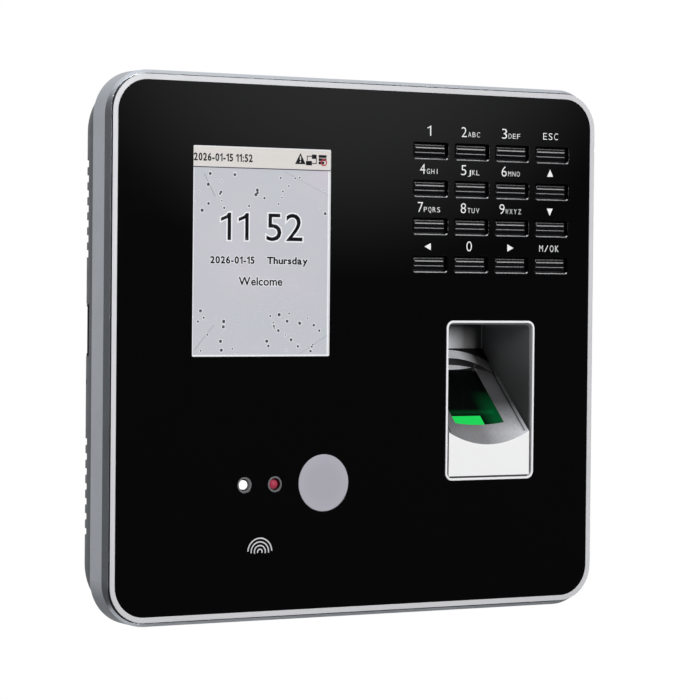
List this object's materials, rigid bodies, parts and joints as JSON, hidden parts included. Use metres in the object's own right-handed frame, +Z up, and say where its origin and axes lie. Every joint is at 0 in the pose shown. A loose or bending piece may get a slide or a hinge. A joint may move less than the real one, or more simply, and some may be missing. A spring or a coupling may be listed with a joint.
{
  "type": "fingerprint scanner terminal",
  "caption": "Flat wall terminal with a glossy black face, portrait screen, keypad, recessed sloping fingerprint reader and a face camera row, lifted off a hooked wall plate.",
  "frame": {"origin": "centre of the wall screw pattern on the back of the wall plate, in the wall plane", "axes": "+X to the right seen from the front, +Z up, the face looks to -Y"},
  "size_m": [0.157, 0.032, 0.149],
  "materials": {
    "galvanised_steel": "dull zinc plated sheet",
    "screw_steel": "plated",
    "case_paint": "satin blue-grey metallic paint on plastic",
    "trim_silver": "satin silver",
    "panel_black": "gloss black printed acrylic",
    "display_clear": "clear",
    "rear_plastic": "fine texture, satin grey",
    "gasket_rubber": "matt",
    "board_green": "solder mask over fibreglass",
    "chip_black": "moulded",
    "lcd_metal": "thin pressed frame",
    "flex_amber": "polyimide film",
    "mat_silicone": "translucent grey",
    "key_black": "gloss black",
    "bezel_chrome": "bright satin",
    "well_grey": "satin dark grey",
    "guide_silver": "satin silver paint",
    "sensor_glass": "polished dark optical window",
    "glow_green": "lit light guide",
    "barrel_black": "satin, grey front ring",
    "lens_white": "bright domed lens",
    "lens_red": "dull red coated lens",
    "diffuser_frost": "frosted",
    "reflector_white": "white",
    "socket_steel": "plated shell",
    "block_green": "moulded",
    "button_grey": "moulded",
    "plunger_red": "moulded"
  },
  "bodies": {
    "plate": {"wall_plate": "galvanised_steel"},
    "terminal": {"front_case": "case_paint", "trim_frame": "trim_silver", "front_panel": "panel_black", "display_lens": "display_clear", "rear_case": "rear_plastic", "case_gasket": "gasket_rubber", "case_screws": "screw_steel", "main_board": "board_green", "board_chips": "chip_black", "board_screws": "screw_steel", "lcd_module": "lcd_metal", "lcd_flex": "flex_amber", "key_mat": "mat_silicone", "key_board": "board_green", "key_link": "chip_black", "finger_bezel": "bezel_chrome", "finger_well": "well_grey", "finger_guide": "guide_silver", "guide_shade": "chip_black", "sensor_window": "sensor_glass", "glow_strip": "glow_green", "sensor_module": "chip_black", "camera_board": "board_green", "face_camera": "barrel_black", "face_camera_lens": "lens_white", "ir_camera": "barrel_black", "ir_camera_lens": "lens_red", "fill_light_lens": "diffuser_frost", "fill_light_cup": "reflector_white", "fill_light_board": "board_green", "speaker": "chip_black", "usb_socket": "socket_steel", "usb_collar": "chip_black", "lan_socket": "socket_steel", "power_jack": "chip_black", "terminal_block": "block_green", "reset_switch": "chip_black", "tamper_switch": "chip_black", "clock_cell": "socket_steel"},
    "security_screw": {"lock_screw": "screw_steel"},
    "key_1_body": {"key_1": "key_black"},
    "key_2_body": {"key_2": "key_black"},
    "key_3_body": {"key_3": "key_black"},
    "key_esc_body": {"key_esc": "key_black"},
    "key_4_body": {"key_4": "key_black"},
    "key_5_body": {"key_5": "key_black"},
    "key_6_body": {"key_6": "key_black"},
    "key_up_body": {"key_up": "key_black"},
    "key_7_body": {"key_7": "key_black"},
    "key_8_body": {"key_8": "key_black"},
    "key_9_body": {"key_9": "key_black"},
    "key_down_body": {"key_down": "key_black"},
    "key_left_body": {"key_left": "key_black"},
    "key_0_body": {"key_0": "key_black"},
    "key_right_body": {"key_right": "key_black"},
    "key_ok_body": {"key_ok": "key_black"},
    "reset_plunger": {"reset_button": "button_grey"},
    "tamper_pin": {"tamper_plunger": "plunger_red"}
  },
  "joints": [
    {"name": "terminal_lift", "type": "slide", "parent": "plate", "child": "terminal", "axis": [0, 0, 1], "range_m": [0, 0.008]},
    {"name": "security_screw_out", "type": "slide", "parent": "plate", "child": "security_screw", "axis": [0, 0, -1], "range_m": [0, 0.01]},
    {"name": "key_1_press", "type": "slide", "parent": "terminal", "child": "key_1_body", "axis": [0, 1, 0], "range_m": [0, 0.0008], "stiffness_N_per_m": 400},
    {"name": "key_2_press", "type": "slide", "parent": "terminal", "child": "key_2_body", "axis": [0, 1, 0], "range_m": [0, 0.0008], "stiffness_N_per_m": 400},
    {"name": "key_3_press", "type": "slide", "parent": "terminal", "child": "key_3_body", "axis": [0, 1, 0], "range_m": [0, 0.0008], "stiffness_N_per_m": 400},
    {"name": "key_esc_press", "type": "slide", "parent": "terminal", "child": "key_esc_body", "axis": [0, 1, 0], "range_m": [0, 0.0008], "stiffness_N_per_m": 400},
    {"name": "key_4_press", "type": "slide", "parent": "terminal", "child": "key_4_body", "axis": [0, 1, 0], "range_m": [0, 0.0008], "stiffness_N_per_m": 400},
    {"name": "key_5_press", "type": "slide", "parent": "terminal", "child": "key_5_body", "axis": [0, 1, 0], "range_m": [0, 0.0008], "stiffness_N_per_m": 400},
    {"name": "key_6_press", "type": "slide", "parent": "terminal", "child": "key_6_body", "axis": [0, 1, 0], "range_m": [0, 0.0008], "stiffness_N_per_m": 400},
    {"name": "key_up_press", "type": "slide", "parent": "terminal", "child": "key_up_body", "axis": [0, 1, 0], "range_m": [0, 0.0008], "stiffness_N_per_m": 400},
    {"name": "key_7_press", "type": "slide", "parent": "terminal", "child": "key_7_body", "axis": [0, 1, 0], "range_m": [0, 0.0008], "stiffness_N_per_m": 400},
    {"name": "key_8_press", "type": "slide", "parent": "terminal", "child": "key_8_body", "axis": [0, 1, 0], "range_m": [0, 0.0008], "stiffness_N_per_m": 400},
    {"name": "key_9_press", "type": "slide", "parent": "terminal", "child": "key_9_body", "axis": [0, 1, 0], "range_m": [0, 0.0008], "stiffness_N_per_m": 400},
    {"name": "key_down_press", "type": "slide", "parent": "terminal", "child": "key_down_body", "axis": [0, 1, 0], "range_m": [0, 0.0008], "stiffness_N_per_m": 400},
    {"name": "key_left_press", "type": "slide", "parent": "terminal", "child": "key_left_body", "axis": [0, 1, 0], "range_m": [0, 0.0008], "stiffness_N_per_m": 400},
    {"name": "key_0_press", "type": "slide", "parent": "terminal", "child": "key_0_body", "axis": [0, 1, 0], "range_m": [0, 0.0008], "stiffness_N_per_m": 400},
    {"name": "key_right_press", "type": "slide", "parent": "terminal", "child": "key_right_body", "axis": [0, 1, 0], "range_m": [0, 0.0008], "stiffness_N_per_m": 400},
    {"name": "key_ok_press", "type": "slide", "parent": "terminal", "child": "key_ok_body", "axis": [0, 1, 0], "range_m": [0, 0.0008], "stiffness_N_per_m": 400},
    {"name": "reset_press", "type": "slide", "parent": "terminal", "child": "reset_plunger", "axis": [1, 0, 0], "range_m": [0, 0.0006], "stiffness_N_per_m": 600},
    {"name": "tamper_press", "type": "slide", "parent": "terminal", "child": "tamper_pin", "axis": [0, -1, 0], "range_m": [0, 0.001], "stiffness_N_per_m": 200}
  ]
}
